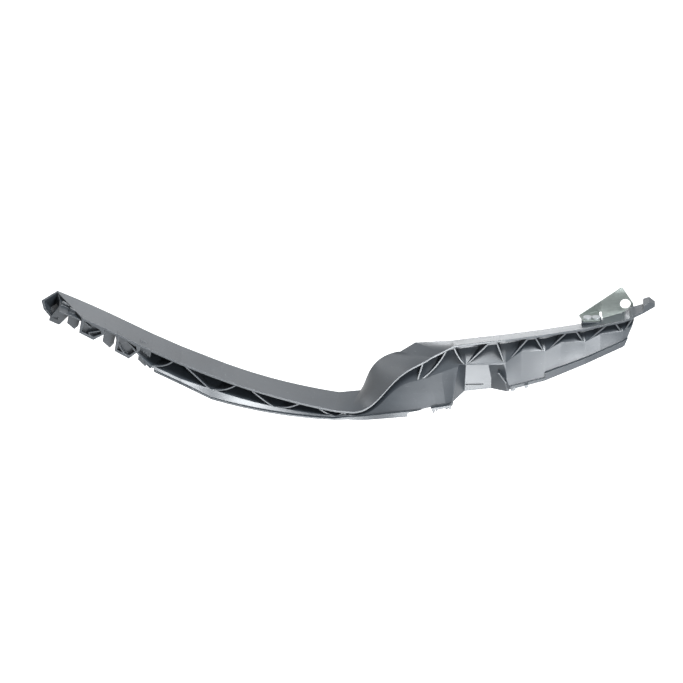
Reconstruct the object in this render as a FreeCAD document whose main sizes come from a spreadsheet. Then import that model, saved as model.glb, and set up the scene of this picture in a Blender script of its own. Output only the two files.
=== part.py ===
import FreeCAD, Part
import os
import Sketcher

# Bumper mounting bracket: a long moulded channel with a ramp in it, open to the front and stiffened
# by zigzag ribs, and a folded steel plate riveted to its rear edge. Millimetres, +Z up.
# Sizes are laid out from the moulding's left end: "along" runs to the right, "back" runs away from
# the open front, and heights are above the lowest edge. The finished pieces are then moved so that
# the origin lies at the centre of the hole in the steel plate.

os.makedirs("parts", exist_ok=True)
doc = FreeCAD.newDocument("bumper_bracket")
sheet = doc.addObject("Spreadsheet::Sheet", "Sizes")

SIZES = {
    # moulding in general
    "wall": 2.2,
    "rib_wall": 1.5,
    "rib_setback": 0.5,
    "lip_proud": 1.2,
    "rib_foot": 1.4,
    # recess in the wall
    "recess_width": 74.0,
    "recess_floor_inset": 18.0,
    "recess_floor_width": 23.5,
    "recess_mouth_top": 64.0,
    "recess_floor_top": 53.6,
    "recess_back": 12.0,
    "recess_front": -14.0,
    "recess_foot": 8.0,
    "groove_width": 17.0,
    "groove_height": 0.9,
    "groove_depth": 0.7,
    "gusset_wall": 1.3,
    "gusset_front": -1.5,
    "shell_mouth_foot_left": 19.2,
    "shell_mouth_foot_right": 34.0,
    "shell_floor_foot_left": 24.6,
    "shell_floor_foot_right": 27.6,
    # step in the lower bead
    "step_past_ramp3": 1.9,
    "step_low": 10.4,
    "step_high": 18.2,
    # left end: pointed top wall, open scoop, catches and tabs for the edge of the bumper skin
    "tip_along": 16.0,
    "tip_rise": 12.1,
    "tip_mid_along": 42.5,
    "tip_mid_rise": 18.3,
    "tip_depth": 40.0,
    "tip_chamfer_back": 36.0,
    "tip_chamfer_along": 40.5,
    "catch_pitch": 34.5,
    "catch_along": 37.5,
    "catch_width": 25.0,
    "catch_drop": 21.0,
    "drop_growth": 2.8,
    "catch_depth": 7.0,
    "tab_along": 25.5,
    "tab_width": 14.0,
    "tab_drop": 20.5,
    "tab_gap": 3.0,
    "tab_wall": 2.6,
    "scoop_front": 16.0,
    "scoop_low": 20.5,
    "scoop_depth": 14.0,
    "scoop_tilt": 45.0,
    "shelf_wall": 1.6,
    # steel plate: an upright with one bend, a hole and a foot that is riveted to a boss
    "plate_wall": 1.5,
    "plate_clearance": 1.5,
    "plate_left_reach": 45.0,
    "plate_left_back": 46.0,
    "plate_left_rise": 1.4,
    "plate_bend_reach": 23.5,
    "plate_bend_rise": 11.5,
    "plate_peak_reach": 4.5,
    "plate_peak_rise": 25.4,
    "plate_right_reach": 8.0,
    "plate_right_rise": 8.1,
    "plate_apron": 9.3,
    "hole_past_bay6": 3.3,
    "hole_rise": 8.2,
    "hole_radius": 5.25,
    "foot_front": 33.5,
    "foot_left_reach": 42.0,
    "foot_right_reach": 25.5,
    "boss_under_bay5": 1.1,
    "boss_height": 8.0,
    "boss_margin": 1.5,
    "boss_rear": 46.5,
    # rivets
    "rivet_radius": 2.4,
    "rivet_head_radius": 4.2,
    "rivet_head": 1.4,
    "rivet_fit": 0.05,
    "rivet_back": 39.5,
    "rivet_left_reach": 37.5,
    "rivet_right_reach": 29.0,
    # pocket of the ramp behind its lip, the end of the left arm's stop, the first bead of the flange
    "ramp_cove": 12.0,
    "flange_bead": 8.2,
}

# Cross-sections of the channel, from left to right. Each gives its step from the one before, where
# the front edge of its top wall lies (back, top), how the section plane is turned (skew, degrees),
# the top wall's depth and its fall to the rear, where the sloping wall leaves the top wall (cove) and how far it first drops (heel), how far
# the rib points lie under the top (pocket), and the lower face: forward lean, drop and bead height.
SECTIONS = {
    "start": (78.8, 0.0, 89.6, 0.0, 40.0, 0.0, 36.0, 0.6, 3.4, 1.0, 2.0, 1.0),
    "arm1": (29.4, 0.0, 74.1, 0.0, 40.0, 0.0, 36.0, 5.0, 16.2, 3.0, 3.9, 1.6),
    "arm_mid": (28.8, 0.0, 60.2, 0.0, 40.0, 0.0, 36.0, 5.0, 17.0, 4.5, 3.6, 1.6),
    "arm2": (29.6, 0.0, 47.4, 0.0, 40.0, 0.0, 36.0, 5.0, 15.4, 6.0, 7.5, 1.6),
    "arm3": (62.2, 0.0, 24.8, 0.0, 40.0, 0.0, 36.0, 4.0, 11.7, 6.0, 4.2, 1.6),
    "arm4": (58.8, 0.0, 9.4, 6.0, 40.2, -1.0, 36.0, 1.2, 6.2, 3.5, 2.2, 1.6),
    "crease1": (13.5, 0.0, 8.0, 16.0, 41.6, -4.5, 36.0, 0.8, 3.6, 2.0, 3.6, 2.8),
    "ramp1": (15.5, 0.0, 10.7, 2.0, 40.0, -13.9, 12.0, 0.8, 5.6, 2.0, 4.8, 4.2),
    "ramp2": (21.0, 0.0, 31.2, -14.4, 41.3, -11.0, 12.0, 1.2, 9.0, 5.0, 18.8, 5.2),
    "ramp3": (19.0, 0.0, 51.1, -23.0, 43.4, -0.1, 13.0, 2.0, 13.0, 7.0, 32.0, 5.4),
    "ramp4": (13.3, 0.0, 59.3, -33.5, 42.0, 3.2, 16.0, 4.0, 17.1, 7.6, 34.3, 5.4),
    "crease2": (11.7, 0.0, 66.7, -45.0, 42.4, 7.6, 17.0, 4.0, 20.2, 8.0, 36.5, 5.4),
    "crest": (10.0, 0.0, 72.2, -40.0, 39.2, 3.3, 15.0, 4.0, 21.9, 8.0, 36.3, 4.6),
    "bay1": (12.0, 0.0, 79.2, 0.0, 30.0, 8.0, 12.0, 4.0, 24.0, 8.0, 36.4, 3.6),
    "bay2": (12.1, 0.0, 81.0, 0.0, 30.0, 8.0, 12.0, 4.0, 21.5, 8.0, 37.2, 3.6),
    "bay3": (39.1, 3.0, 84.4, 0.0, 30.0, 8.0, 12.0, 4.0, 24.4, 8.0, 26.6, 3.6),
    "rise3": (15.7, 5.4, 85.5, 0.0, 30.0, 8.0, 12.0, 3.0, 14.5, 8.0, 34.3, 3.3),
    "bay4": (23.0, 9.0, 87.1, 0.0, 30.0, 8.0, 11.0, 4.0, 17.9, 8.0, 27.6, 3.0),
    "rise4": (15.0, 11.7, 88.4, 0.0, 30.0, 8.0, 10.0, 2.0, 11.1, 8.0, 30.2, 7.4),
    "bay5": (24.2, 16.0, 90.4, 0.0, 30.0, 8.0, 9.0, 3.0, 14.3, 8.0, 20.0, 6.0),
    "rise5": (14.8, 19.2, 92.2, 0.0, 30.0, 6.8, 8.6, 1.6, 9.2, 7.6, 21.1, 5.8),
    "bay6": (22.2, 24.0, 94.9, 0.0, 30.0, 5.0, 8.0, 2.0, 11.0, 7.0, 13.4, 5.5),
    "end": (11.1, 26.5, 98.2, 0.0, 30.0, 1.5, 8.0, 2.0, 9.0, 6.0, 12.0, 5.5),
}
# Zigzag ribs: from the point of each V, how far its two limbs reach along the top wall, and how
# far each sags below a straight line.
RIBS = {
    "arm1": (29.0, 21.5, 0.0, 2.6),
    "arm2": (27.0, 25.0, 0.0, 2.8),
    "arm3": (25.5, 25.4, 0.7, 2.4),
    "arm4": (18.0, 9.0, 1.0, 0.4),
    "ramp4": (-4.0, 27.0, 0.0, 2.6),
    "bay2": (12.0, 23.8, 1.2, 0.0),
    "bay3": (9.4, 23.0, 0.0, 0.0),
    "bay4": (10.5, 21.8, 0.0, 0.0),
    "bay5": (9.5, 22.0, 0.0, 0.0),
    "bay6": (7.6, 10.2, 0.0, 0.0),
}
RIB_WORDS = ("left_reach", "right_reach", "left_sag", "right_sag")
SECTION_WORDS = ("step", "back", "top", "skew", "depth", "fall", "cove", "heel", "pocket", "lean",
                 "skirt", "lip")
# Places that follow from the sizes above
PLACES = {
    "tip_mid_top": "start_top + tip_mid_rise",
    "tip_top": "tip_mid_top + tip_rise",
    "scoop_rest": "tip_top - scoop_low",
    "step_along": "ramp3_along + step_past_ramp3",
    "recess_left": "bay1_along - 5.6",
    "recess_right": "recess_left + recess_width",
    "recess_floor_left": "recess_left + recess_floor_inset",
    "recess_floor_right": "recess_floor_left + recess_floor_width",
    "boss_top": "bay5_top - boss_under_bay5",
    "hole_along": "bay6_along + hole_past_bay6",
    "hole_height": "boss_top + hole_rise",
    "plate_back": "end_back + end_depth + plate_clearance",
    "plate_left": "hole_along - plate_left_reach",
    "plate_left_top": "boss_top + plate_left_rise",
    "plate_bend": "hole_along - plate_bend_reach",
    "plate_bend_top": "boss_top + plate_bend_rise",
    "plate_peak": "hole_along - plate_peak_reach",
    "plate_peak_top": "boss_top + plate_peak_rise",
    "plate_right": "hole_along + plate_right_reach",
    "plate_right_top": "boss_top + plate_right_rise",
    "foot_left": "hole_along - foot_left_reach",
    "foot_right": "hole_along - foot_right_reach",
    "rivet_left": "hole_along - rivet_left_reach",
    "rivet_right": "hole_along - rivet_right_reach",
}

for section, values in SECTIONS.items():
    for word, value in zip(SECTION_WORDS, values):
        SIZES[section + "_" + word] = value
for section, values in RIBS.items():
    for word, value in zip(RIB_WORDS, values):
        SIZES[section + "_" + word] = value
ALONGS = {}
before = None
for section in SECTIONS:
    step = section + "_step"
    ALONGS[section + "_along"] = step if before is None else before + "_along + " + step
    before = section

rows = [(alias, str(value)) for alias, value in SIZES.items()]
rows += [(alias, "=" + text) for alias, text in list(ALONGS.items()) + list(PLACES.items())]
for number, (alias, content) in enumerate(rows, start=1):
    sheet.set("A%d" % number, alias)
    sheet.set("B%d" % number, content)
    sheet.setAlias("B%d" % number, alias)
    doc.recompute()


def size(alias):
    """The value of one cell, for the few shapes that are made straight from curves."""
    return float(sheet.get(alias))


def sketch_outline(name, placement, points):
    """A closed outline of straight lines whose corners are all bound to the sheet."""
    sketch = doc.addObject("Sketcher::SketchObject", name)
    sketch.setExpression("Placement", placement)
    corners = []
    for across, up in points:
        corners.append(FreeCAD.Vector(sheet.evalExpression(across), sheet.evalExpression(up), 0))
    count = len(corners)
    for i in range(count):
        sketch.addGeometry(Part.LineSegment(corners[i], corners[(i + 1) % count]), False)
    for i in range(count):
        sketch.addConstraint(Sketcher.Constraint("Coincident", i, 2, (i + 1) % count, 1))
    for i, (across, up) in enumerate(points):
        for kind, letter, text, value in (("DistanceX", "across", across, corners[i].x),
                                          ("DistanceY", "up", up, corners[i].y)):
            number = sketch.addConstraint(Sketcher.Constraint(kind, -1, 1, i, 1, value))
            label = "%s%d" % (letter, i)
            sketch.renameConstraint(number, label)
            sketch.setExpression("Constraints." + label, text)
    return sketch


def front_plane(back):
    """Placement of an outline that is seen from the front, at a distance behind the front edge."""
    return "placement(vector(0; %s; 0); rotation(0; 0; 90))" % back


def extrude_back(name, points, front, depth):
    """A shape seen from the front, from its front plane backwards by a depth."""
    sketch = sketch_outline(name + "_outline", front_plane(front), points)
    solid = doc.addObject("Part::Extrusion", name)
    solid.Base = sketch
    solid.DirMode = "Custom"
    solid.Dir = FreeCAD.Vector(0, 1, 0)
    solid.Solid = True
    solid.setExpression("LengthFwd", depth)
    return solid


def extrude_up(name, points, bottom, height):
    """A shape seen from above, from a height upwards."""
    sketch = sketch_outline(name + "_outline", "placement(vector(0; 0; %s); rotation(0; 0; 0))" % bottom,
                            points)
    solid = doc.addObject("Part::Extrusion", name)
    solid.Base = sketch
    solid.DirMode = "Custom"
    solid.Dir = FreeCAD.Vector(0, 0, 1)
    solid.Solid = True
    solid.setExpression("LengthFwd", height)
    return solid


def loft(name, sketches, ruled):
    solid = doc.addObject("Part::Loft", name)
    solid.Sections = sketches
    solid.Solid = True
    solid.Ruled = ruled
    return solid


def fuse(name, shapes):
    solid = doc.addObject("Part::MultiFuse", name)
    solid.Shapes = shapes
    return solid


def cut(name, base, tool):
    solid = doc.addObject("Part::Cut", name)
    solid.Base = base
    solid.Tool = tool
    return solid


def common(name, shapes):
    solid = doc.addObject("Part::MultiCommon", name)
    solid.Shapes = shapes
    return solid


# Walls of the channel, lofted through the cross-sections
def section_plane(section):
    return ("placement(vector(Sizes.{0}_along; Sizes.{0}_back; 0); "
            "rotation(90 - Sizes.{0}_skew; 0; 90))").format(section)


def underside(section, depth):
    """Height of the top wall's lower face at a depth."""
    return "(Sizes.{0}_top - Sizes.wall - Sizes.{0}_fall * ({1}) / Sizes.{0}_depth)".format(section, depth)


def cove_of(section, stretch):
    """How deep the channel is at a section; at the fold the ramp's side of it is shallow."""
    return "Sizes.ramp_cove" if (section, stretch) == ("crease1", "ramp") else "Sizes." + section + "_cove"


def wall_section(section, stretch="", bead="lip"):
    """Closed section of the top wall, the sloping wall, the lower face and its bead."""
    cell = "Sizes." + section + "_"
    cove = cove_of(section, stretch)
    bead_height = "Sizes.flange_bead" if bead == "flange" else cell + "lip"
    foot = "({0}top - {0}pocket - {0}skirt)".format(cell)
    cove_rear = "(%s + Sizes.wall)" % cove
    points = [
        ("0", cell + "top"),
        (cell + "depth", "{0}top - {0}fall".format(cell)),
        (cell + "depth", "{0}top - {0}fall - Sizes.wall".format(cell)),
        (cove_rear, underside(section, cove_rear)),
        (cove_rear, underside(section, cove_rear) + " - {0}heel - 0.8 * Sizes.wall".format(cell)),
        ("Sizes.wall", "{0}top - {0}pocket - 0.5 * Sizes.wall".format(cell)),
        ("Sizes.wall - {0}lean".format(cell), foot),
        ("-{0}lean - Sizes.lip_proud".format(cell), foot),
        ("-{0}lean - Sizes.lip_proud".format(cell), foot + " + " + bead_height),
        ("-{0}lean * (1 - {1} / {0}skirt)".format(cell, bead_height), foot + " + " + bead_height),
        ("0", "{0}top - {0}pocket".format(cell)),
        (cove, underside(section, cove) + " - {0}heel".format(cell)),
        (cove, underside(section, cove)),
        ("0", "{0}top - Sizes.wall".format(cell)),
    ]
    return sketch_outline("_".join((stretch, section, bead, "walls")), section_plane(section), points)


def pocket_section(section, stretch):
    """The open space of the channel, reaching halfway into the walls round it."""
    cell = "Sizes." + section + "_"
    rear = "(%s + Sizes.wall / 2)" % cove_of(section, stretch)
    points = [
        ("Sizes.rib_setback", "{0}top - Sizes.wall / 2".format(cell)),
        (rear, underside(section, rear) + " + Sizes.wall / 2"),
        (rear, underside(section, rear) + " - {0}heel - 0.4 * Sizes.wall".format(cell)),
        ("Sizes.wall / 2", "{0}top - {0}pocket - 0.25 * Sizes.wall".format(cell)),
        ("Sizes.rib_setback", "{0}top - {0}pocket - 0.1 * Sizes.wall".format(cell)),
    ]
    return sketch_outline(stretch + "_" + section + "_space", section_plane(section), points)


def behind_section(section):
    """All that lies behind the middle of the sloping wall and the lower face."""
    cell = "Sizes." + section + "_"
    rear = "({0}cove + Sizes.wall / 2)".format(cell)
    foot = "{0}top - {0}pocket - {0}skirt - 12".format(cell)
    reach = "(Sizes.recess_back + 3 * Sizes.wall)"
    points = [
        ("Sizes.wall / 2 - {0}lean".format(cell), foot),
        ("Sizes.wall / 2", "{0}top - {0}pocket - 0.25 * Sizes.wall".format(cell)),
        (rear, underside(section, rear) + " - {0}heel - 0.4 * Sizes.wall".format(cell)),
        (rear + " + " + reach, underside(section, rear) + " - {0}heel - 0.4 * Sizes.wall".format(cell)),
        (rear + " + " + reach, foot),
    ]
    return sketch_outline(section + "_behind", section_plane(section), points)


STRETCHES = {
    "run_in": (("start", "arm1"), True),
    "left_start": (("arm1", "arm_mid", "arm2"), True),
    "left_arm": (("arm2", "arm3", "arm4"), False),
    "left_foot": (("arm4", "crease1"), True),
    "ramp": (("crease1", "ramp1", "ramp2", "ramp3", "ramp4", "crease2"), False),
    "right_arm": (("crease2", "crest", "bay1", "bay2", "bay3", "rise3", "bay4"), True),
    "right_end": (("bay4", "rise4", "bay5", "rise5", "bay6", "end"), True),
}
walls = []
spaces = []
for stretch, (names, ruled) in STRETCHES.items():
    outlines = [wall_section(section, stretch) for section in names]
    if stretch == "right_end":
        outlines[0] = wall_section(names[0], stretch, "flange")
    walls.append(loft(stretch + "_walls", outlines, ruled))
    spaces.append(loft(stretch + "_space", [pocket_section(section, stretch) for section in names], ruled))


# Left end: the top wall runs on to a point, over catches and tabs that take the bumper skin's edge
def strip_section(name, along, top):
    points = [
        ("0", top),
        ("Sizes.tip_depth", top),
        ("Sizes.tip_depth", top + " - Sizes.wall"),
        ("0", top + " - Sizes.wall"),
    ]
    return sketch_outline(name, "placement(vector(%s; 0; 0); rotation(90; 0; 90))" % along, points)


tip_strip = loft("tip_strip", [
    strip_section("tip_end_strip", "Sizes.tip_along", "Sizes.tip_top"),
    strip_section("tip_mid_strip", "Sizes.tip_mid_along", "Sizes.tip_mid_top"),
    strip_section("tip_root_strip", "Sizes.start_along", "Sizes.start_top"),
], False)
tip_chamfer = extrude_up("tip_chamfer", [
    ("Sizes.tip_along - 5", "-20"),
    ("Sizes.tip_chamfer_along", "-20"),
    ("Sizes.tip_chamfer_along", "0"),
    ("Sizes.tip_along", "Sizes.tip_chamfer_back"),
    ("Sizes.tip_along - 5", "Sizes.tip_chamfer_back"),
], "Sizes.tip_mid_top - 40", "80")
tip = cut("tip", tip_strip, tip_chamfer)

SLOPE = "(Sizes.tip_mid_top - Sizes.start_top) / (Sizes.start_along - Sizes.tip_mid_along)"


def strip_top(along):
    """Height of the straight stretch of top wall over the catches."""
    return "(Sizes.tip_mid_top - (%s - Sizes.tip_mid_along) * %s)" % (along, SLOPE)


def catch(number):
    """Front catch: a leaning cup with a thin bottom, open to the front."""
    left = "(Sizes.catch_along + %d * Sizes.catch_pitch)" % number
    right = "(%s + Sizes.catch_width)" % left
    top = strip_top(left) + " - Sizes.wall / 2"
    drop = "(Sizes.catch_drop + %d * Sizes.drop_growth)" % number
    outer = [
        (left + " + 3", top),
        (right + " - 1", strip_top(right) + " - Sizes.wall / 2"),
        (right, strip_top(right) + " - 6"),
        (left + " + 0.55 * Sizes.catch_width", strip_top(left) + " - 4 - " + drop),
        (left, strip_top(left) + " - 0.82 * " + drop),
    ]
    inner = [
        (left + " + 5", strip_top(left) + " - Sizes.wall / 2 - 3"),
        (right + " - 4", strip_top(right) + " - Sizes.wall / 2 - 1"),
        (right + " - 3.4", strip_top(right) + " - 6"),
        (left + " + 0.55 * Sizes.catch_width", strip_top(left) + " - 0.6 - " + drop),
        (left + " + 2.2", strip_top(left) + " - 0.78 * " + drop),
    ]
    name = "catch%d" % (number + 1)
    block = extrude_back(name + "_block", outer, "0", "Sizes.catch_depth")
    hollow = extrude_back(name + "_hollow", inner, "-2", "Sizes.catch_depth")
    return cut(name, block, hollow)


def tab(number):
    """Rear tab: a plate that hangs behind the gap between two catches."""
    left = "(Sizes.tab_along + %d * Sizes.catch_pitch)" % number
    right = "(%s + Sizes.tab_width)" % left
    drop = "(Sizes.tab_drop + %d * Sizes.drop_growth)" % number
    outline = [
        (left + " + 3", strip_top(left) + " - Sizes.wall / 2"),
        (right, strip_top(right) + " - Sizes.wall / 2"),
        (right + " - 3", strip_top(right) + " - 0.65 * " + drop),
        (left + " + 7", strip_top(left) + " - 3.5 - " + drop),
        (left, strip_top(left) + " - 0.85 * " + drop),
    ]
    front = "Sizes.catch_depth + Sizes.tab_gap"
    return extrude_back("tab%d" % (number + 1), outline, front, "Sizes.tab_wall")


catches = [catch(number) for number in range(2)]
tabs = [tab(number) for number in range(3)]

# Open scoop at the far left, whose rim faces forwards and up
def scoop_outline(name, depth, points):
    """An outline square to the scoop's axis, at a depth below its rim."""
    plane = ("placement(vector(0; Sizes.scoop_front + ({0}) * sin(Sizes.scoop_tilt); "
             "Sizes.scoop_rest - ({0}) * cos(Sizes.scoop_tilt)); "
             "rotation(0; 0; 90 - Sizes.scoop_tilt))").format(depth)
    return sketch_outline(name, plane, points)


scoop_block = loft("scoop_block", [
    scoop_outline("scoop_rim", "0", [
        ("16", "30.8"), ("0", "20.5"), ("2.3", "11.3"), ("9.2", "2.8"), ("16.8", "0"), ("19.4", "20.5")]),
    scoop_outline("scoop_seat", "Sizes.scoop_depth", [
        ("15", "24"), ("7", "18"), ("8", "12"), ("12", "8"), ("17", "7"), ("18.4", "18")]),
], True)
scoop_hollow = loft("scoop_hollow", [
    scoop_outline("hollow_rim", "-0.5", [
        ("15.5", "28.8"), ("2", "19.9"), ("4", "12.1"), ("10.1", "4.3"), ("15.6", "1.9"), ("17.8", "20.3")]),
    scoop_outline("hollow_seat", "Sizes.scoop_depth - Sizes.wall", [
        ("14.4", "22"), ("9", "17.6"), ("9.8", "13"), ("13", "10"), ("16", "9.2"), ("16.9", "17.6")]),
], True)
scoop = cut("scoop", scoop_block, scoop_hollow)
scoop_ledge = extrude_back("scoop_ledge", [
    ("7.6", "Sizes.tip_top - 21.8"),
    ("16.8", "Sizes.tip_top - 26.3"),
    ("18.6", "Sizes.tip_top - 25.6"),
    ("27.6", "Sizes.tip_top - 16"),
    ("30", strip_top("30") + " - Sizes.wall / 2"),
    ("21", strip_top("21") + " - Sizes.wall / 2"),
    ("9.2", "Sizes.tip_top - 17.8"),
], "Sizes.scoop_front + 2", "4")

# Pocket between the scoop and the first tab: a wall under the slanted edge of the tip, and a shelf
tip_wall = common("tip_wall", [
    extrude_up("tip_wall_plan", [
        ("Sizes.tip_along + 1", "Sizes.tip_chamfer_back - 0.5"),
        ("Sizes.tip_chamfer_along", "1.5"),
        ("Sizes.tip_chamfer_along", "4.5"),
        ("Sizes.tip_along + 3", "Sizes.tip_chamfer_back"),
    ], "Sizes.tip_mid_top - 10", "30"),
    extrude_back("tip_wall_front", [
        ("Sizes.tip_along + 1", "Sizes.tip_top - 6"),
        ("Sizes.tip_along + 1", "Sizes.tip_top - 1.6"),
        ("Sizes.tip_chamfer_along", strip_top("Sizes.tip_chamfer_along") + " - 1.4"),
        ("Sizes.tip_chamfer_along", strip_top("Sizes.tip_chamfer_along") + " - 3.4"),
    ], "0", "40"),
])
tip_shelf = extrude_back("tip_shelf", [
    ("Sizes.tip_along + 2.2", "Sizes.tip_top - 4.4"),
    ("Sizes.tip_chamfer_along - 0.5", strip_top("Sizes.tip_chamfer_along") + " - 2.9"),
    ("Sizes.tip_chamfer_along - 0.5", strip_top("Sizes.tip_chamfer_along") + " - 2.9 - Sizes.shelf_wall"),
    ("Sizes.tip_along + 2.2", "Sizes.tip_top - 4.4 - Sizes.shelf_wall"),
], "2", "30")

# Recess: a box that steps back into the wall between the first two bays
def recess_outline(name, back, left, right, top, feet, grow):
    """Outline of the recess at one depth, grown by a wall where it is the outside."""
    left_foot, left_top = left
    right_top, right_foot = right
    points = [
        ("%s - %s" % (left_foot, grow), feet[0]),
        ("%s - %s" % (left_top, grow), "%s + %s" % (top, grow)),
        ("%s + %s" % (right_top, grow), "%s + %s" % (top, grow)),
        ("%s + %s" % (right_foot, grow), "%s - 15 + %s" % (top, grow)),
        ("%s + %s" % (right_foot, grow), feet[1]),
    ]
    return sketch_outline(name, front_plane(back), points)


MOUTH_LEFT = ("Sizes.recess_left", "Sizes.recess_left + 1")
MOUTH_RIGHT = ("Sizes.recess_right + 6", "Sizes.recess_right - 3")
FLOOR_LEFT = ("Sizes.recess_floor_left - 2", "Sizes.recess_floor_left")
FLOOR_RIGHT = ("Sizes.recess_floor_right - 1.5", "Sizes.recess_floor_right + 1.5")
THROUGH = ("Sizes.recess_foot", "Sizes.recess_foot")
recess_space = loft("recess_space", [
    recess_outline("recess_mouth", "Sizes.recess_front", MOUTH_LEFT, MOUTH_RIGHT,
                   "Sizes.recess_mouth_top", THROUGH, "0"),
    recess_outline("recess_floor", "Sizes.recess_back", FLOOR_LEFT, FLOOR_RIGHT,
                   "Sizes.recess_floor_top", THROUGH, "0"),
], True)
recess_shell = loft("recess_shell", [
    recess_outline("shell_mouth", "Sizes.recess_front", MOUTH_LEFT, MOUTH_RIGHT, "Sizes.recess_mouth_top",
                   ("Sizes.shell_mouth_foot_left", "Sizes.shell_mouth_foot_right"), "Sizes.wall"),
    recess_outline("shell_floor", "Sizes.recess_back + Sizes.wall", FLOOR_LEFT, FLOOR_RIGHT,
                   "Sizes.recess_floor_top",
                   ("Sizes.shell_floor_foot_left", "Sizes.shell_floor_foot_right"), "Sizes.wall"),
], True)
behind = loft("behind_walls", [behind_section(name) for name in ("crest", "bay1", "bay2", "bay3", "bay4")],
              True)
recess_walls = common("recess_walls", [cut("recess_ring", recess_shell, recess_space), behind])
floor_groove = extrude_back("floor_groove", [
    ("Sizes.recess_floor_left", "Sizes.recess_floor_top - 21.3"),
    ("Sizes.recess_floor_left + Sizes.groove_width", "Sizes.recess_floor_top - 21"),
    ("Sizes.recess_floor_left + Sizes.groove_width", "Sizes.recess_floor_top - 21 - Sizes.groove_height"),
    ("Sizes.recess_floor_left", "Sizes.recess_floor_top - 21.3 - Sizes.groove_height"),
], "Sizes.recess_back - 1", "Sizes.groove_depth + 1")
gusset_plate = extrude_back("gusset_plate", [
    ("Sizes.recess_floor_right + 7.6", "Sizes.recess_floor_top - 3"),
    ("Sizes.recess_floor_right + 7.6 + Sizes.gusset_wall", "Sizes.recess_floor_top - 3"),
    ("Sizes.recess_floor_right + 17.6", "Sizes.recess_floor_top - 16.2"),
    ("Sizes.recess_floor_right + 16.4", "Sizes.recess_floor_top - 16.2"),
], "Sizes.gusset_front", "Sizes.recess_back - Sizes.gusset_front - 1.5")
gusset = common("gusset", [gusset_plate, recess_space])

# Zigzag ribs, trimmed to the open space of the channel
def along_of(section):
    return size(section + "_along")


def top_at(along):
    """Height of the top wall's front edge, straight from one section to the next."""
    names = list(SECTIONS)
    for left, right in zip(names, names[1:]):
        if along <= along_of(right) or right == names[-1]:
            share = (along - along_of(left)) / (along_of(right) - along_of(left))
            return size(left + "_top") + share * (size(right + "_top") - size(left + "_top"))


def limb(low, high, sag):
    """One rib limb as a thin face seen from the front, straight or sagging to an arc."""
    half = size("rib_wall") / 2
    run = (high - low).normalize()
    side = FreeCAD.Vector(run.z, 0, -run.x)
    if side.z > 0:
        side = -side
    if sag == 0:
        corners = [low + side * half, high + side * half, high - side * half, low - side * half]
        return Part.Face(Part.makePolygon(corners + corners[:1]))
    middle = (low + high) / 2 + side * sag
    centre = Part.Arc(low, middle, high).toShape().Curve.Center
    edges = []
    ends = []
    for offset in (half, -half):
        ring = [centre + (p - centre) * (1 + offset / (p - centre).Length) for p in (low, middle, high)]
        edges.append(Part.Arc(*ring).toShape())
        ends.append((ring[0], ring[2]))
    edges.append(Part.LineSegment(ends[0][0], ends[1][0]).toShape())
    edges.append(Part.LineSegment(ends[0][1], ends[1][1]).toShape())
    return Part.Face(Part.Wire(Part.__sortEdges__(edges)))


def zigzag(stretch, names):
    """The rib limbs of one stretch, full depth, before they are trimmed."""
    plates = []
    for section in names:
        point = size(section + "_top") - size(section + "_pocket")
        for turn, side in ((-1, "left"), (1, "right")):
            reach = size(section + "_" + side + "_reach")
            sag = size(section + "_" + side + "_sag")
            low_along = along_of(section) + turn * size("rib_foot")
            high_along = along_of(section) + turn * reach
            low = FreeCAD.Vector(low_along, -5, point - 0.6)
            high = FreeCAD.Vector(high_along, -5, top_at(high_along) - size("wall") / 2)
            plates.append(limb(low, high, sag).extrude(FreeCAD.Vector(0, 90, 0)))
    feature = doc.addObject("Part::Feature", stretch + "_zigzag")
    feature.Shape = plates[0].multiFuse(plates[1:])
    return feature


RIB_STRETCHES = {
    "run_in": ("arm1",),
    "left_start": ("arm1", "arm2"),
    "left_arm": ("arm2", "arm3", "arm4"),
    "left_foot": ("arm4",),
    "ramp": ("ramp4",),
    "right_arm": ("ramp4", "bay2", "bay3", "bay4"),
    "right_end": ("bay4", "bay5", "bay6"),
}
doc.recompute()
ribs = []
for space, (stretch, names) in zip(spaces, RIB_STRETCHES.items()):
    ribs.append(common(stretch + "_ribs", [zigzag(stretch, names), space]))

# Tab that closes the left arm's channel where the ramp begins
arm_stop = extrude_back("arm_stop_block", [
    ("Sizes.crease1_along - 5.4", "Sizes.crease1_top - 9"),
    ("Sizes.crease1_along - 2.6", "Sizes.crease1_top - 9"),
    ("Sizes.crease1_along - 2", "Sizes.crease1_top + 12"),
    ("Sizes.crease1_along - 4.8", "Sizes.crease1_top + 12"),
], "-5", "60")
ribs.append(common("arm_stop", [arm_stop, spaces[3]]))

# Under the first rib of the left arm nothing of the wall shows until the rib's foot
run_trim = extrude_back("run_trim", [
    ("Sizes.start_along - 2", "Sizes.start_top - Sizes.wall - 0.3"),
    ("Sizes.arm1_along - Sizes.arm1_left_reach + 0.4", "Sizes.start_top - Sizes.wall - 0.3"),
    ("Sizes.arm1_along - Sizes.rib_foot - 0.6", "Sizes.arm1_top - Sizes.arm1_pocket - 1"),
    ("Sizes.arm1_along + 2", "Sizes.arm1_top - Sizes.arm1_pocket - 2.6"),
    ("Sizes.arm1_along + 2", "Sizes.arm1_top - Sizes.arm1_pocket - 20"),
    ("Sizes.start_along - 2", "Sizes.arm1_top - Sizes.arm1_pocket - 20"),
], "-20", "90")

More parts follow.
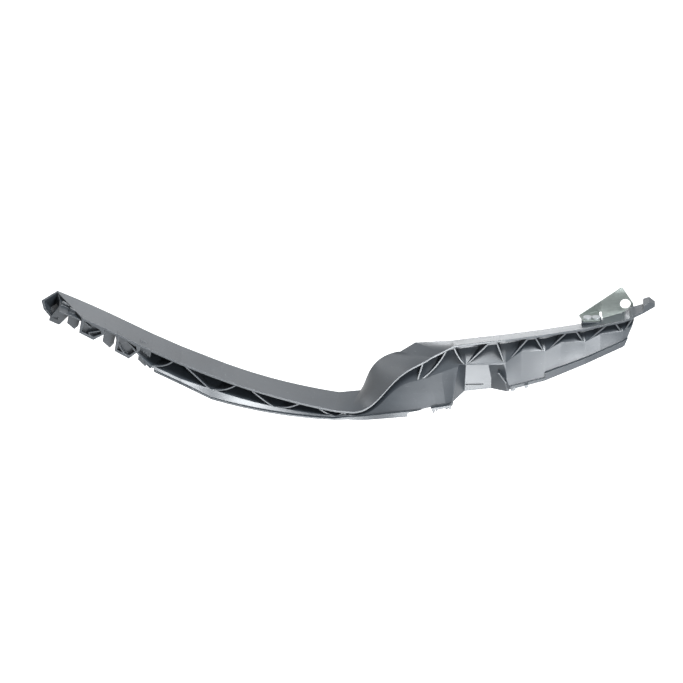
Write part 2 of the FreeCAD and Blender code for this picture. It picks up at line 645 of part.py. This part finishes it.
# Right end: the wall stops at a slant under the top wall, which runs on as a finger with a raised head
end_trim = extrude_back("end_trim", [
    ("Sizes.end_along + 0.7", "Sizes.end_top - 4.8"),
    ("Sizes.end_along - 6.6", "Sizes.end_top - 20"),
    ("Sizes.end_along - 10", "Sizes.end_top - 28"),
    ("Sizes.end_along - 10", "Sizes.end_top - 60"),
    ("Sizes.end_along + 20", "Sizes.end_top - 60"),
    ("Sizes.end_along + 20", "Sizes.end_top - 4.8"),
], "-20", "90")
finger_side = extrude_back("finger_side", [
    ("Sizes.end_along - 4", "Sizes.end_top - 3.6"),
    ("Sizes.end_along + 20.6", "Sizes.end_top + 6.4"),
    ("Sizes.end_along + 20.6", "Sizes.end_top + 9.6"),
    ("Sizes.end_along + 15", "Sizes.end_top + 12"),
    ("Sizes.end_along + 9.2", "Sizes.end_top + 9.6"),
    ("Sizes.end_along + 8.8", "Sizes.end_top + 4"),
    ("Sizes.end_along - 4", "Sizes.end_top - 1.2"),
], "Sizes.end_back", "30")
finger_plan = extrude_up("finger_plan", [
    ("Sizes.end_along - 4", "Sizes.end_back + 0.4"),
    ("Sizes.end_along + 9", "Sizes.end_back + 4"),
    ("Sizes.end_along + 20.6", "Sizes.end_back + 9.5"),
    ("Sizes.end_along + 20.6", "Sizes.end_back + 16"),
    ("Sizes.end_along + 15", "Sizes.end_back + 21"),
    ("Sizes.end_along + 8", "Sizes.end_back + 22"),
    ("Sizes.end_along - 4", "Sizes.end_back + 24"),
], "Sizes.end_top - 20", "60")
finger = common("finger", [finger_side, finger_plan])

# Step in the lower bead, and the small hooks under the edge
bead_step = extrude_back("bead_step", [
    ("Sizes.step_along", "-5"),
    ("Sizes.step_along", "Sizes.step_low - 1.6"),
    ("Sizes.step_along + 1.6", "Sizes.step_low"),
    ("Sizes.recess_left - 2", "Sizes.step_high"),
    ("Sizes.recess_left - 2", "-5"),
], "-20", "40")
loop_hook = extrude_back("loop_hook", [
    ("386.4", "16.4"),
    ("386.4", "11.8"),
    ("388.2", "12.6"),
    ("388.2", "14.2"),
    ("399.4", "16.2"),
    ("399.6", "14.2"),
    ("401.4", "14.6"),
    ("401.4", "19"),
], "-8.5", "5")
point_hook = extrude_back("point_hook", [("381.6", "15.6"), ("384.2", "9.6"), ("385", "10.2"), ("386.6", "16.4")],
                          "-8.5", "4")
peg1 = extrude_back("peg1", [("459.6", "36"), ("460", "32.4"), ("464", "33"), ("465.4", "37")], "-5", "4")
peg2 = extrude_back("peg2", [("473", "39"), ("473.6", "35.6"), ("476.6", "36.4"), ("476.8", "40")], "-5", "4")

# Boss that carries the plate's foot
foot_boss = extrude_up("foot_boss", [
    ("Sizes.foot_left - Sizes.boss_margin", "Sizes.foot_front - Sizes.boss_margin"),
    ("Sizes.foot_right + Sizes.boss_margin", "Sizes.foot_front - Sizes.boss_margin"),
    ("Sizes.foot_right + Sizes.boss_margin", "Sizes.boss_rear"),
    ("Sizes.foot_left - Sizes.boss_margin", "Sizes.boss_rear"),
], "Sizes.boss_top - Sizes.boss_height", "Sizes.boss_height")


def peg_on_rivet(name, along, bottom, height, radius):
    """An upright cylinder on the line of one rivet."""
    cylinder = doc.addObject("Part::Cylinder", name)
    cylinder.setExpression("Radius", radius)
    cylinder.setExpression("Height", height)
    cylinder.setExpression("Placement", "placement(vector(%s; Sizes.rivet_back; %s); rotation(0; 0; 0))"
                           % (along, bottom))
    return cylinder


RIVETS = ("Sizes.rivet_left", "Sizes.rivet_right")
BORE = "Sizes.rivet_radius + Sizes.rivet_fit"
boss_bores = fuse("boss_bores", [
    peg_on_rivet("boss_bore%d" % number, along, "Sizes.boss_top - Sizes.boss_height - 20",
                 "Sizes.boss_height + 40", BORE)
    for number, along in enumerate(RIVETS, start=1)])

solid_walls = fuse("solid_walls", walls)
open_walls = cut("open_walls", solid_walls, recess_space)
with_ribs = fuse("with_ribs", [open_walls, recess_walls, gusset] + ribs)
trims = fuse("trims", [end_trim, bead_step, run_trim, floor_groove])
trimmed = cut("trimmed", with_ribs, trims)
joined = fuse("joined", [trimmed, tip, scoop, scoop_ledge, tip_wall, tip_shelf, finger, foot_boss,
                         loop_hook, point_hook, peg1, peg2] + catches + tabs)
moulding = cut("bracket_moulding", joined, boss_bores)
moulding.Label = "bracket_moulding"

# Steel plate: the upright is cut from a strip with one bend, and the foot is folded forwards
upright_plan = extrude_up("upright_plan", [
    ("Sizes.plate_left", "Sizes.plate_left_back"),
    ("Sizes.plate_bend", "Sizes.plate_back"),
    ("Sizes.plate_right", "Sizes.plate_back"),
    ("Sizes.plate_right", "Sizes.plate_back + Sizes.plate_wall"),
    ("Sizes.plate_bend - 0.3", "Sizes.plate_back + Sizes.plate_wall"),
    ("Sizes.plate_left - 0.7", "Sizes.plate_left_back + Sizes.plate_wall * 0.9"),
], "Sizes.boss_top - Sizes.plate_apron", "Sizes.plate_peak_rise + Sizes.plate_apron + 5")
upright_front = extrude_back("upright_front", [
    ("Sizes.plate_left - 2", "Sizes.boss_top"),
    ("Sizes.plate_left - 2", "Sizes.plate_left_top - 0.8"),
    ("Sizes.plate_bend", "Sizes.plate_bend_top"),
    ("Sizes.plate_peak", "Sizes.plate_peak_top"),
    ("Sizes.plate_peak + 1.5", "Sizes.plate_peak_top"),
    ("Sizes.plate_right", "Sizes.plate_right_top"),
    ("Sizes.plate_right", "Sizes.boss_top - Sizes.plate_apron"),
    ("Sizes.plate_bend + 1.5", "Sizes.boss_top - Sizes.plate_apron"),
    ("Sizes.plate_bend", "Sizes.boss_top"),
], "Sizes.plate_left_back - 20", "60")
plate_foot = extrude_up("plate_foot", [
    ("Sizes.foot_left", "Sizes.foot_front"),
    ("Sizes.foot_right", "Sizes.foot_front"),
    ("Sizes.foot_right", "Sizes.plate_back - 0.2"),
    ("Sizes.plate_left - 0.4", "Sizes.plate_left_back + 0.4"),
], "Sizes.boss_top", "Sizes.plate_wall")
plate_hole = doc.addObject("Part::Cylinder", "plate_hole")
plate_hole.setExpression("Radius", "Sizes.hole_radius")
plate_hole.Height = 20
plate_hole.setExpression("Placement", "placement(vector(Sizes.hole_along; Sizes.plate_back + 10; "
                         "Sizes.hole_height); rotation(0; 0; 90))")
plate_bores = fuse("plate_bores", [plate_hole] + [
    peg_on_rivet("plate_bore%d" % number, along, "Sizes.boss_top - 5", "20", BORE)
    for number, along in enumerate(RIVETS, start=1)])
plate_sheet = fuse("plate_sheet", [common("upright", [upright_plan, upright_front]), plate_foot])
plate = cut("mounting_plate", plate_sheet, plate_bores)
plate.Label = "mounting_plate"


def rivet(number, along):
    """A blind rivet: a shank through the foot and the boss, with a head at each end."""
    low = "Sizes.boss_top - Sizes.boss_height"
    shank = peg_on_rivet("shank%d" % number, along, low + " - Sizes.rivet_head / 2",
                         "Sizes.boss_height + Sizes.plate_wall + Sizes.rivet_head", "Sizes.rivet_radius")
    top_head = peg_on_rivet("top_head%d" % number, along, "Sizes.boss_top + Sizes.plate_wall",
                            "Sizes.rivet_head", "Sizes.rivet_head_radius")
    low_head = peg_on_rivet("low_head%d" % number, along, low + " - Sizes.rivet_head", "Sizes.rivet_head",
                            "Sizes.rivet_head_radius * 0.85")
    return fuse("rivet%d" % number, [shank, top_head, low_head])


rivets = doc.addObject("Part::Compound", "plate_rivets")
rivets.Links = [rivet(number, along) for number, along in enumerate(RIVETS, start=1)]
rivets.Label = "plate_rivets"

# The hole in the plate is the part's own origin
for node in (moulding, plate, rivets):
    node.setExpression("Placement", "placement(vector(-Sizes.hole_along; -Sizes.plate_back; "
                       "-Sizes.hole_height); rotation(0; 0; 0))")
doc.recompute()

for item in doc.Objects:
    if "Invalid" in item.State or "Error" in item.State:
        raise RuntimeError("failed: %s" % item.Name)
for node in (moulding, plate, rivets):
    shape = node.Shape
    if shape.isNull() or not shape.isValid():
        raise RuntimeError("bad shape: %s" % node.Label)
    print(node.Label, len(shape.Solids), round(shape.Volume), shape.BoundBox)
    shape.exportStep("parts/%s.step" % node.Label)
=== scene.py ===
"""Looks of the bumper mounting bracket: moulded plastic channel, zinc-coated plate and its blind rivets."""
import math

import bmesh
import bpy
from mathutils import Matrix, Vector


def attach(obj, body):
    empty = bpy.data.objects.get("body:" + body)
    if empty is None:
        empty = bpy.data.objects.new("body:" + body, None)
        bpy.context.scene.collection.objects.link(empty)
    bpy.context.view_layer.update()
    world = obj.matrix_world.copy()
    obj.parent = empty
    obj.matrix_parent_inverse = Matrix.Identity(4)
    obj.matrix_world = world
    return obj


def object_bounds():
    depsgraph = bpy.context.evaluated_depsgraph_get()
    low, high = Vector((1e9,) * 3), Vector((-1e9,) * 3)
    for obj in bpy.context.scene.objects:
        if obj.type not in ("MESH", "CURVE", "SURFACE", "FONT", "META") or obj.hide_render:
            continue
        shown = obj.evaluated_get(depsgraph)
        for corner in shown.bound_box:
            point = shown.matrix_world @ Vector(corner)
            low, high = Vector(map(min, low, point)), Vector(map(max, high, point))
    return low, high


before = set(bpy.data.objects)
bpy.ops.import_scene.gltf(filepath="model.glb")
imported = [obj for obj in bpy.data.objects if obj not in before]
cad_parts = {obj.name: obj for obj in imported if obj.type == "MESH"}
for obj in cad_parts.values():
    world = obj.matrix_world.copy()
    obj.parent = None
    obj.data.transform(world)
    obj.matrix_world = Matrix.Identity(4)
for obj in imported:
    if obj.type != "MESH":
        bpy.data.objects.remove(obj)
cad_low, cad_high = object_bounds()

MM = 0.001

# Camera: a long lens in front of the channel's open side, 25 degrees above level
VIEW_ELEVATION = math.radians(25.0)
VIEW_TARGET = Vector((-0.279, -0.038, -0.023))
VIEW_WIDTH = 0.6696
LENS = 500.0
SENSOR = 36.0

# The bracket is made to be fixed to a body, so it hangs over the floor
FLOOR_DROP = 400.0 * MM
FLOOR_HALF = 6.0
# Added where the floor is seen, so that its pale colour reads white
FLOOR_GLOW = 0.6

# How strongly the white surroundings light the object, where 1 is as white as they look
AMBIENT_LEVEL = 0.5

# Lamps are a little cooler than the white surroundings
LAMP_COLOUR = (0.94, 0.97, 1.0)
# Name, point it faces, azimuth, elevation (degrees), distance, width, height (metres), radiance
LAMPS = (
    ("key_right", (-0.05, -0.06, -0.04), 11.0, 12.0, 1.6, 0.42, 0.45, 31.0),
    ("high_right", (-0.36, -0.06, -0.07), 58.0, 62.0, 1.4, 0.60, 0.60, 32.0),
    ("low_front", (-0.13, -0.06, -0.05), 0.0, -24.0, 0.75, 0.40, 0.12, 34.0),
    ("behind_right_end", (0.03, -0.02, 0.0), 188.0, 5.0, 1.6, 0.26, 0.22, 8.0),
    ("behind_ramp", (-0.20, -0.03, -0.04), 235.0, 27.0, 1.6, 0.40, 0.40, 3.0),
    ("beside_scoop", (-0.56, -0.03, 0.01), -112.0, -22.0, 0.6, 0.25, 0.25, 14.0),
)

# Rounding that the mould and the press leave on edges
MOULDED_EDGE = 0.7 * MM
SHEARED_EDGE = 0.3 * MM
EDGE_SAMPLES = 6

# Polypropylene: its flow marks, which run along the channel, and its scuffs, which are thin and slanted.
# The mould's grain is drawn coarser than the real 0.1 to 0.2 mm, so that it shows.
FLOW_MARK = 16.0 * MM
FLOW_ALONG = 0.25
MOULD_GRAIN = 0.9 * MM
GRAIN_DEPTH = 0.03 * MM
SCUFF = 7.0 * MM
SCUFF_SLANT = math.radians(35.0)
SCUFF_THINNESS = 7.0
# Between the 1.49 of plain polypropylene and the talc's own
PLASTIC_IOR = 1.54

# Zinc coat: the spangle and its relief, and the rolling lines of the sheet under it
SPANGLE = 3.0 * MM
SPANGLE_DEPTH = 0.05 * MM
ROLLING_LINE = 1.6 * MM
ROLLING_ALONG = 0.12

# Cloudy patches of oxide on the rivets
OXIDE_PATCH = 1.5 * MM

# Sockets of a colour Mix node, where one name stands for several
MIX_A = 6
MIX_B = 7
MIX_RESULT = 2

# Front catches: small stiffening ribs in their cups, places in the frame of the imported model
CATCH_FRONT = -57.6 * MM
CATCH_RIB_DEPTH = 4.8 * MM
CATCH_RIB_WALL = 1.3 * MM


def linear(code):
    """Turns an sRGB hex colour into the linear colour that a shader socket takes."""
    channels = [int(code[i:i + 2], 16) / 255.0 for i in (1, 3, 5)]
    curve = [c / 12.92 if c <= 0.04045 else ((c + 0.055) / 1.055) ** 2.4 for c in channels]
    return (*curve, 1.0)


def add(tree, kind, settings=None, inputs=None):
    """Adds one shader node; an input that is a socket is linked, and any other is set."""
    node = tree.nodes.new(kind)
    for key, value in (settings or {}).items():
        setattr(node, key, value)
    for key, value in (inputs or {}).items():
        if isinstance(value, bpy.types.NodeSocket):
            tree.links.new(value, node.inputs[key])
        else:
            node.inputs[key].default_value = value
    return node


def new_material(name):
    """A node material with nothing but its output."""
    material = bpy.data.materials.new(name)
    material.use_nodes = True
    material.node_tree.nodes.clear()
    output = add(material.node_tree, "ShaderNodeOutputMaterial")
    return material, material.node_tree, output


def moulded_polypropylene():
    """Talc-filled polypropylene, injection moulded and unpainted: near black and satin, with the fine
    grain of a spark-eroded mould, long cloudy flow marks, a few pale scuffs, and edges that catch light
    because the mould rounds them."""
    material, tree, output = new_material("moulded_polypropylene")
    place = add(tree, "ShaderNodeTexCoord").outputs["Object"]
    along_flow = add(tree, "ShaderNodeMapping", None, {"Vector": place, "Scale": (FLOW_ALONG, 1.0, 1.0)})
    flow = add(tree, "ShaderNodeTexNoise", None, {
        "Vector": along_flow.outputs["Vector"], "Scale": 1.0 / FLOW_MARK, "Detail": 3.0, "Roughness": 0.55})
    grain = add(tree, "ShaderNodeTexNoise", None, {
        "Vector": place, "Scale": 1.0 / MOULD_GRAIN, "Detail": 2.0, "Roughness": 0.6})
    scuff_place = add(tree, "ShaderNodeMapping", None, {
        "Vector": place, "Rotation": (0.0, SCUFF_SLANT, 0.0), "Scale": (1.0, 1.0, SCUFF_THINNESS)})
    scuff = add(tree, "ShaderNodeTexNoise", None, {
        "Vector": scuff_place.outputs["Vector"], "Scale": 1.0 / SCUFF, "Detail": 2.0, "Roughness": 0.7})
    scuffed = add(tree, "ShaderNodeMapRange", None, {
        "Value": scuff.outputs["Fac"], "From Min": 0.66, "From Max": 0.78, "To Min": 0.0, "To Max": 0.35})
    body = add(tree, "ShaderNodeMix", {"data_type": "RGBA"}, {
        "Factor": flow.outputs["Fac"], MIX_A: linear("#24282c"), MIX_B: linear("#31363b")})
    colour = add(tree, "ShaderNodeMix", {"data_type": "RGBA"}, {
        "Factor": scuffed.outputs["Result"], MIX_A: body.outputs[MIX_RESULT], MIX_B: linear("#63666a")})
    roughness = add(tree, "ShaderNodeMapRange", None, {
        "Value": flow.outputs["Fac"], "From Min": 0.3, "From Max": 0.7, "To Min": 0.30, "To Max": 0.37})
    rounding = add(tree, "ShaderNodeBevel", {"samples": EDGE_SAMPLES}, {"Radius": MOULDED_EDGE})
    relief = add(tree, "ShaderNodeBump", None, {
        "Height": grain.outputs["Fac"], "Strength": 0.25, "Distance": GRAIN_DEPTH,
        "Normal": rounding.outputs["Normal"]})
    surface = add(tree, "ShaderNodeBsdfPrincipled", None, {
        "Base Color": colour.outputs[MIX_RESULT],
        "Roughness": roughness.outputs["Result"],
        "IOR": PLASTIC_IOR,
        "Normal": relief.outputs["Normal"],
    })
    tree.links.new(surface.outputs["BSDF"], output.inputs["Surface"])
    return material


def zinc_coated_steel():
    """Cold-rolled sheet, sheared and folded, with a satin zinc coat: grey with a cloudy spangle and
    short rolling lines."""
    material, tree, output = new_material("zinc_coated_steel")
    place = add(tree, "ShaderNodeTexCoord").outputs["Object"]
    spangle = add(tree, "ShaderNodeTexVoronoi", {"feature": "SMOOTH_F1"}, {
        "Vector": place, "Scale": 1.0 / SPANGLE, "Smoothness": 0.6})
    rolled = add(tree, "ShaderNodeMapping", None, {"Vector": place, "Scale": (ROLLING_ALONG, 1.0, 1.0)})
    cloud = add(tree, "ShaderNodeTexNoise", None, {
        "Vector": rolled.outputs["Vector"], "Scale": 1.0 / ROLLING_LINE, "Detail": 3.0})
    colour = add(tree, "ShaderNodeMix", {"data_type": "RGBA"}, {
        "Factor": cloud.outputs["Fac"], MIX_A: linear("#747a77"), MIX_B: linear("#8e9490")})
    roughness = add(tree, "ShaderNodeMapRange", None, {
        "Value": spangle.outputs["Distance"], "From Min": 0.0, "From Max": 0.8,
        "To Min": 0.46, "To Max": 0.58})
    rounding = add(tree, "ShaderNodeBevel", {"samples": EDGE_SAMPLES}, {"Radius": SHEARED_EDGE})
    relief = add(tree, "ShaderNodeBump", None, {
        "Height": spangle.outputs["Distance"], "Strength": 0.15, "Distance": SPANGLE_DEPTH,
        "Normal": rounding.outputs["Normal"]})
    surface = add(tree, "ShaderNodeBsdfPrincipled", None, {
        "Base Color": colour.outputs[MIX_RESULT],
        "Metallic": 1.0,
        "Roughness": roughness.outputs["Result"],
        "Normal": relief.outputs["Normal"],
    })
    tree.links.new(surface.outputs["BSDF"], output.inputs["Surface"])
    return material


def rivet_aluminium():
    """Drawn aluminium of a blind rivet, lightly oxidised: satin, slightly dull and cloudy."""
    material, tree, output = new_material("rivet_aluminium")
    place = add(tree, "ShaderNodeTexCoord").outputs["Object"]
    cloud = add(tree, "ShaderNodeTexNoise", None, {
        "Vector": place, "Scale": 1.0 / OXIDE_PATCH, "Detail": 2.0})
    colour = add(tree, "ShaderNodeMix", {"data_type": "RGBA"}, {
        "Factor": cloud.outputs["Fac"], MIX_A: linear("#9ea1a3"), MIX_B: linear("#bcbfc1")})
    roughness = add(tree, "ShaderNodeMapRange", None, {
        "Value": cloud.outputs["Fac"], "From Min": 0.3, "From Max": 0.7, "To Min": 0.46, "To Max": 0.58})
    rounding = add(tree, "ShaderNodeBevel", {"samples": EDGE_SAMPLES}, {"Radius": SHEARED_EDGE})
    surface = add(tree, "ShaderNodeBsdfPrincipled", None, {
        "Base Color": colour.outputs[MIX_RESULT],
        "Metallic": 1.0,
        "Roughness": roughness.outputs["Result"],
        "Normal": rounding.outputs["Normal"],
    })
    tree.links.new(surface.outputs["BSDF"], output.inputs["Surface"])
    return material


def finish_node(name, material):
    """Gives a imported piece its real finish; its shape stays as it is."""
    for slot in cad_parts[name].material_slots:
        slot.material = material


def catch_rib(name, points, material):
    """A thin rib in a catch's cup, seen from the front as a line of places (along, up) in millimetres."""
    shape = bmesh.new()
    half = CATCH_RIB_WALL / 2
    line = [Vector((along * MM, 0.0, up * MM)) for along, up in points]
    sides = []
    for i, point in enumerate(line):
        run = (line[min(i + 1, len(line) - 1)] - line[max(i - 1, 0)]).normalized()
        side = Vector((run.z, 0.0, -run.x)) * half
        sides.append((shape.verts.new(point + side), shape.verts.new(point - side)))
    for (a, b), (c, d) in zip(sides, sides[1:]):
        shape.faces.new((a, b, d, c))
    pushed = bmesh.ops.extrude_face_region(shape, geom=shape.faces[:])
    moved = [item for item in pushed["geom"] if isinstance(item, bmesh.types.BMVert)]
    bmesh.ops.translate(shape, verts=moved, vec=(0.0, CATCH_RIB_DEPTH, 0.0))
    bmesh.ops.translate(shape, verts=shape.verts, vec=(0.0, CATCH_FRONT, 0.0))
    bmesh.ops.recalc_face_normals(shape, faces=shape.faces)
    mesh = bpy.data.meshes.new(name)
    shape.to_mesh(mesh)
    shape.free()
    mesh.materials.append(material)
    piece = bpy.data.objects.new(name, mesh)
    bpy.context.scene.collection.objects.link(piece)
    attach(piece, "root")


def catch_ribs(material):
    """Stiffening ribs in the two front catches."""
    catch_rib("catch1_brace", ((-531.6, 7.9), (-523.8, 0.4)), material)
    catch_rib("catch1_upper_web", ((-511.4, -1.8), (-526.8, -4.8)), material)
    catch_rib("catch1_lower_web", ((-526.8, -4.8), (-521.6, -11.2)), material)
    catch_rib("catch2_brace", ((-499.6, -7.2), (-498.2, -14.2), (-495.0, -21.6), (-491.4, -27.4)), material)


def white_where_seen(tree):
    """One where a ray sees a surface directly or in gloss or glass, and zero for its light."""
    path = add(tree, "ShaderNodeLightPath")
    seen = add(tree, "ShaderNodeMath", {"operation": "MAXIMUM"},
               {0: path.outputs["Is Camera Ray"], 1: path.outputs["Is Glossy Ray"]})
    seen = add(tree, "ShaderNodeMath", {"operation": "MAXIMUM"},
               {0: seen.outputs["Value"], 1: path.outputs["Is Transmission Ray"]})
    return seen.outputs["Value"]


def studio_world():
    """White surroundings as the eye and gloss see them, and a softer level for their light."""
    world = bpy.data.worlds.new("studio")
    world.use_nodes = True
    tree = world.node_tree
    tree.nodes.clear()
    ambient = add(tree, "ShaderNodeBackground", None, {
        "Color": (1.0, 1.0, 1.0, 1.0), "Strength": AMBIENT_LEVEL})
    white = add(tree, "ShaderNodeBackground", None, {"Color": (1.0, 1.0, 1.0, 1.0), "Strength": 1.0})
    mixed = add(tree, "ShaderNodeMixShader", None, {
        0: white_where_seen(tree), 1: ambient.outputs["Background"], 2: white.outputs["Background"]})
    add(tree, "ShaderNodeOutputWorld", None, {"Surface": mixed.outputs["Shader"]})
    bpy.context.scene.world = world


def studio_floor():
    """A wide pale floor below the bracket; it reads white and keeps the bracket's soft shadow."""
    shape = bmesh.new()
    bmesh.ops.create_grid(shape, x_segments=1, y_segments=1, size=FLOOR_HALF)
    bmesh.ops.translate(shape, verts=shape.verts, vec=(0.0, 0.0, cad_low[2] - FLOOR_DROP))
    mesh = bpy.data.meshes.new("floor")
    shape.to_mesh(mesh)
    shape.free()
    material, tree, output = new_material("pale_floor")
    matt = add(tree, "ShaderNodeBsdfDiffuse", None, {"Color": linear("#f2f2f2")})
    level = add(tree, "ShaderNodeMath", {"operation": "MULTIPLY"}, {0: white_where_seen(tree), 1: FLOOR_GLOW})
    glow = add(tree, "ShaderNodeEmission", None, {"Strength": level.outputs["Value"]})
    both = add(tree, "ShaderNodeAddShader", None, {0: matt.outputs["BSDF"], 1: glow.outputs["Emission"]})
    tree.links.new(both.outputs["Shader"], output.inputs["Surface"])
    mesh.materials.append(material)
    floor = bpy.data.objects.new("floor", mesh)
    bpy.context.scene.collection.objects.link(floor)


def softbox(name, aim, azimuth, elevation, distance, width, height, radiance):
    """A rectangular lamp that faces a point of the bracket; azimuth 0 is in front, 90 to the right."""
    data = bpy.data.lights.new(name, "AREA")
    data.shape = "RECTANGLE"
    data.size = width
    data.size_y = height
    data.color = LAMP_COLOUR
    data.energy = radiance * math.pi * width * height
    lamp = bpy.data.objects.new(name, data)
    turn = math.radians(azimuth)
    rise = math.radians(elevation)
    way = Vector((math.sin(turn) * math.cos(rise), -math.cos(turn) * math.cos(rise), math.sin(rise)))
    lamp.location = Vector(aim) + way * distance
    lamp.rotation_euler = way.to_track_quat("Z", "Y").to_euler()
    lamp.visible_camera = False
    bpy.context.scene.collection.objects.link(lamp)


def studio_lamps():
    """A key lamp to the front right for the right wall, one high on the right for the left arm's lower
    face, a low one in front for edges and recess, two behind for the top wall, one beside the scoop."""
    for lamp in LAMPS:
        softbox(*lamp)


def photo_camera():
    """The photograph's camera: front view from 25 degrees above, nearly parallel."""
    data = bpy.data.cameras.new("camera")
    data.lens = LENS
    data.sensor_width = SENSOR
    distance = VIEW_WIDTH * LENS / SENSOR
    camera = bpy.data.objects.new("camera", data)
    way = Vector((0.0, -math.cos(VIEW_ELEVATION), math.sin(VIEW_ELEVATION)))
    camera.location = VIEW_TARGET + way * distance
    camera.rotation_euler = way.to_track_quat("Z", "Y").to_euler()
    bpy.context.scene.collection.objects.link(camera)
    bpy.context.scene.camera = camera


plastic = moulded_polypropylene()
finish_node("bracket_moulding", plastic)
finish_node("mounting_plate", zinc_coated_steel())
finish_node("plate_rivets", rivet_aluminium())
catch_ribs(plastic)
studio_world()
studio_floor()
studio_lamps()
photo_camera()
bpy.context.scene.view_settings.view_transform = "Standard"
